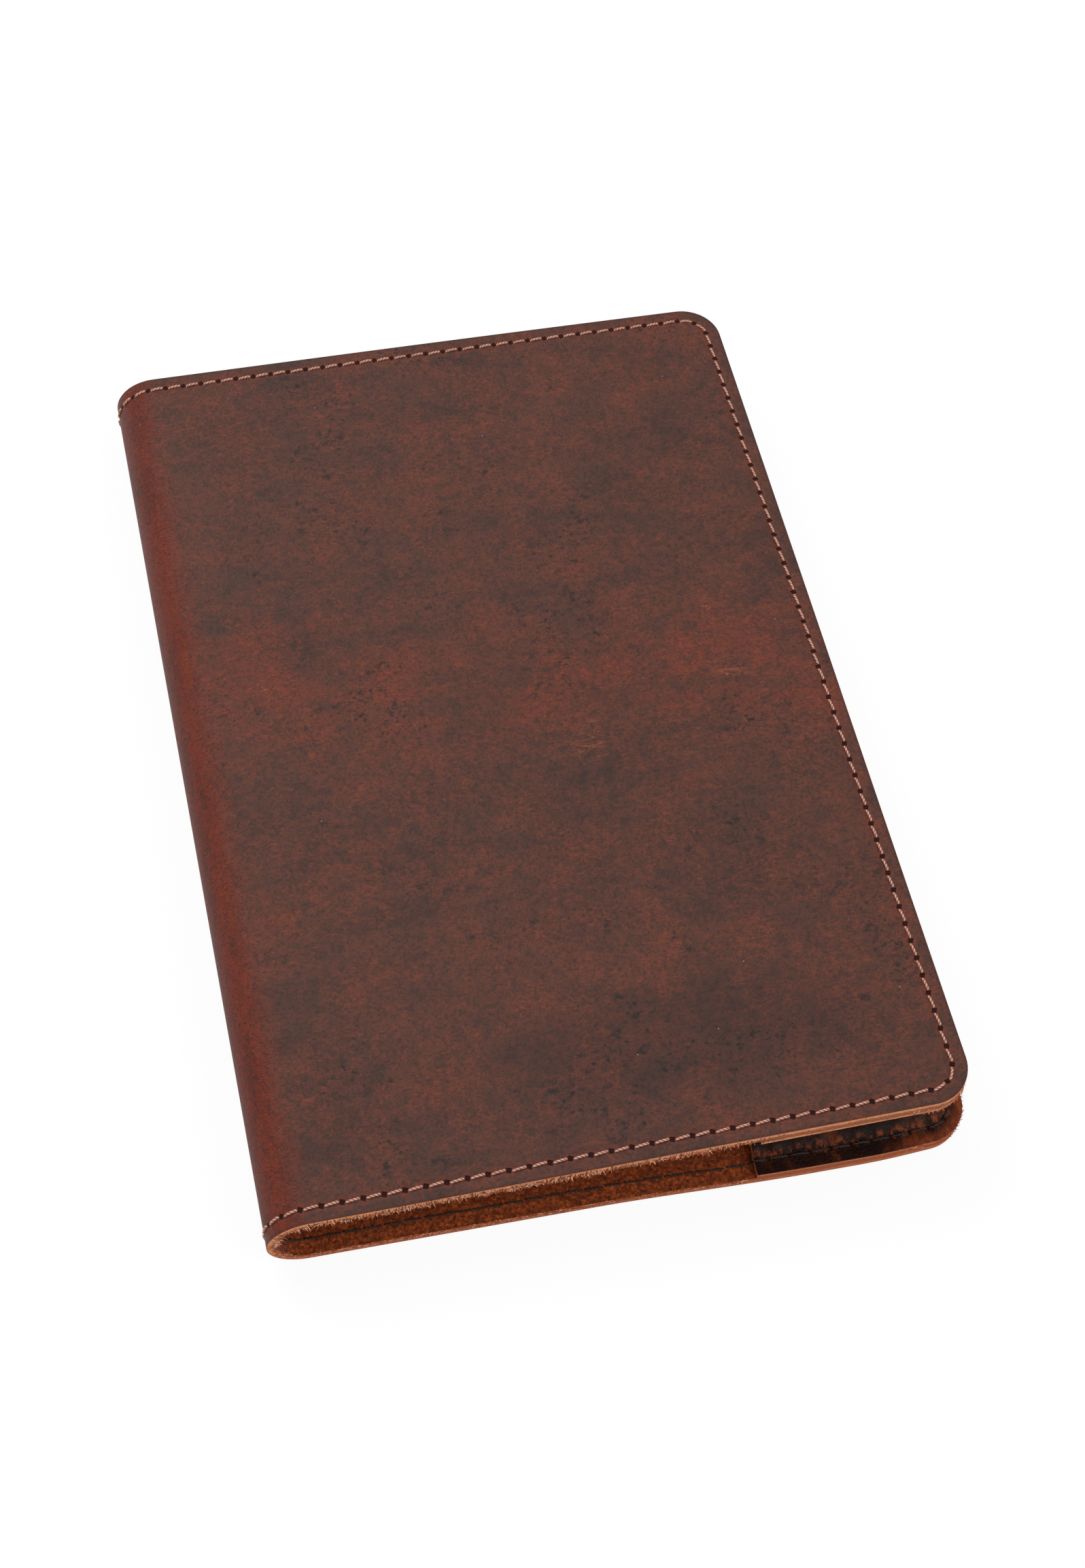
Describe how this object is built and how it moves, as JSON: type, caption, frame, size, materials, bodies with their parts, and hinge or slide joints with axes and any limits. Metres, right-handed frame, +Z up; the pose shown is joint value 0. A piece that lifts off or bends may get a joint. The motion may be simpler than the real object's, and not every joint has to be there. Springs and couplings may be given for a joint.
{
  "type": "leather notebook",
  "caption": "Soft leather notebook cover with a rounded wrap-round spine, stitched edge and inner pockets, holding a sewn paper refill.",
  "frame": {"origin": "centre of the closed notebook's outline, on the surface that it lies on", "axes": "+X from the spine to the fore edge, +Y from tail to head, +Z up through the front cover"},
  "size_m": [0.148, 0.219, 0.023],
  "materials": {
    "cover_leather": "waxed full-grain leather, dark brown",
    "pocket_leather": "smooth dark brown lining leather",
    "refill_card": "matt cover card",
    "paper": "uncoated cream paper"
  },
  "bodies": {
    "back_cover": {"back_panel": "cover_leather", "back_pocket": "pocket_leather"},
    "spine_1": {"spine_strip_1": "cover_leather"},
    "spine_2": {"spine_strip_2": "cover_leather"},
    "spine_3": {"spine_strip_3": "cover_leather"},
    "front_cover": {"front_panel": "cover_leather", "front_pocket": "pocket_leather"},
    "refill_back": {"refill_back_cover": "refill_card", "signature_4": "paper", "signature_5": "paper", "signature_6": "paper"},
    "refill_front": {"refill_spine_wrap": "refill_card", "signature_1": "paper"},
    "leaves_2": {"signature_2": "paper"},
    "leaves_3": {"signature_3": "paper"},
    "front_card": {"refill_front_cover": "refill_card"}
  },
  "joints": [
    {"name": "refill_shift", "type": "slide", "parent": "back_cover", "child": "refill_back", "axis": [-1, 0, 0], "range_m": [0, 0.006]},
    {"name": "refill_fold", "type": "hinge", "parent": "refill_back", "child": "refill_front", "pos_m": [-0.0693, 0, 0.00912], "axis": [0, -1, 0], "range_deg": [0, 178.1]},
    {"name": "leaf_turn_2", "type": "hinge", "parent": "refill_back", "child": "leaves_2", "pos_m": [-0.0693, 0, 0.00912], "axis": [0, -1, 0], "range_deg": [0, 176.32]},
    {"name": "leaf_turn_3", "type": "hinge", "parent": "refill_back", "child": "leaves_3", "pos_m": [-0.0693, 0, 0.00912], "axis": [0, -1, 0], "range_deg": [0, 174.54]},
    {"name": "spine_bend_1", "type": "hinge", "parent": "back_cover", "child": "spine_1", "pos_m": [-0.06828, 0, 0.00069], "axis": [0, -1, 0], "range_deg": [0, 44.52]},
    {"name": "spine_bend_2", "type": "hinge", "parent": "spine_1", "child": "spine_2", "pos_m": [-0.07326, 0, 0.00557], "axis": [0, -1, 0], "range_deg": [0, 44.52]},
    {"name": "spine_bend_3", "type": "hinge", "parent": "spine_2", "child": "spine_3", "pos_m": [-0.07337, 0, 0.01254], "axis": [0, -1, 0], "range_deg": [0, 44.52]},
    {"name": "spine_bend_4", "type": "hinge", "parent": "spine_3", "child": "front_cover", "pos_m": [-0.06857, 0, 0.01759], "axis": [0, -1, 0], "range_deg": [0, 44.52]},
    {"name": "front_card_shift", "type": "slide", "parent": "front_cover", "child": "front_card", "axis": [-0.9994, 0, -0.0332], "range_m": [0, 0.0133]}
  ],
  "couplings": [
    {"joint": "refill_shift", "follows": "refill_fold", "m_per_rad": 0.0019302},
    {"joint": "leaf_turn_2", "follows": "refill_fold", "ratio": 0.99},
    {"joint": "leaf_turn_3", "follows": "refill_fold", "ratio": 0.98},
    {"joint": "spine_bend_1", "follows": "refill_fold", "ratio": 0.25},
    {"joint": "spine_bend_2", "follows": "refill_fold", "ratio": 0.25},
    {"joint": "spine_bend_3", "follows": "refill_fold", "ratio": 0.25},
    {"joint": "spine_bend_4", "follows": "refill_fold", "ratio": 0.25},
    {"joint": "front_card_shift", "follows": "refill_fold", "m_per_rad": 0.0042787}
  ]
}
